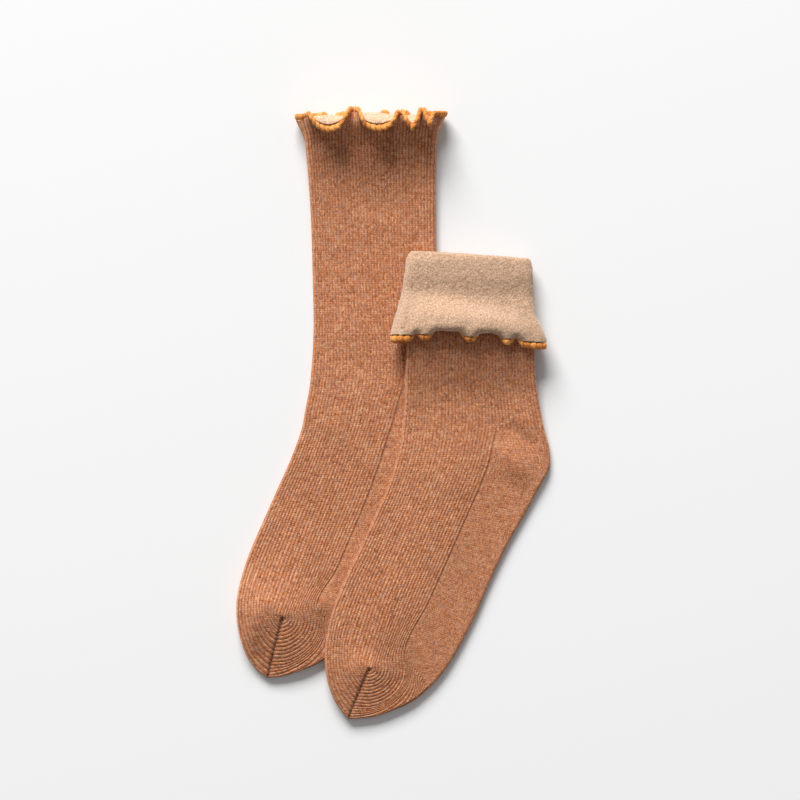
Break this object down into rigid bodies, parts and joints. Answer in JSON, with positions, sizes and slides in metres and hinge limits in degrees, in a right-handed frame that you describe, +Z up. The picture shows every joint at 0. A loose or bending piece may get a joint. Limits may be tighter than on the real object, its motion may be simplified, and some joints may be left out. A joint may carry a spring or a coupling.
{
  "type": "pair of socks",
  "caption": "Pair of rib-knit crew socks laid flat and overlapping, one with its leg turned down into a cuff, with brushed lining and wavy overlocked hems.",
  "frame": {"origin": "middle of the pair's outline seen from above, on the surface that the socks lie on", "axes": "+X across the legs, to the right in the picture; +Y from the toes to the mouths; +Z up from the surface"},
  "size_m": [0.2024, 0.3948, 0.0253],
  "materials": {
    "rib_knit": "heathered rust one-by-one rib knit, matte",
    "brushed_lining": "cream and rust brushed fleece face, matte",
    "overlock_thread": "mustard overlock stitches, matte"
  },
  "bodies": {
    "root": {"sock_a_body": "rib_knit", "sock_a_lining": "brushed_lining", "sock_a_hem": "overlock_thread", "sock_b_body": "rib_knit", "sock_b_lining": "brushed_lining", "sock_b_hem": "overlock_thread"}
  },
  "joints": []
}
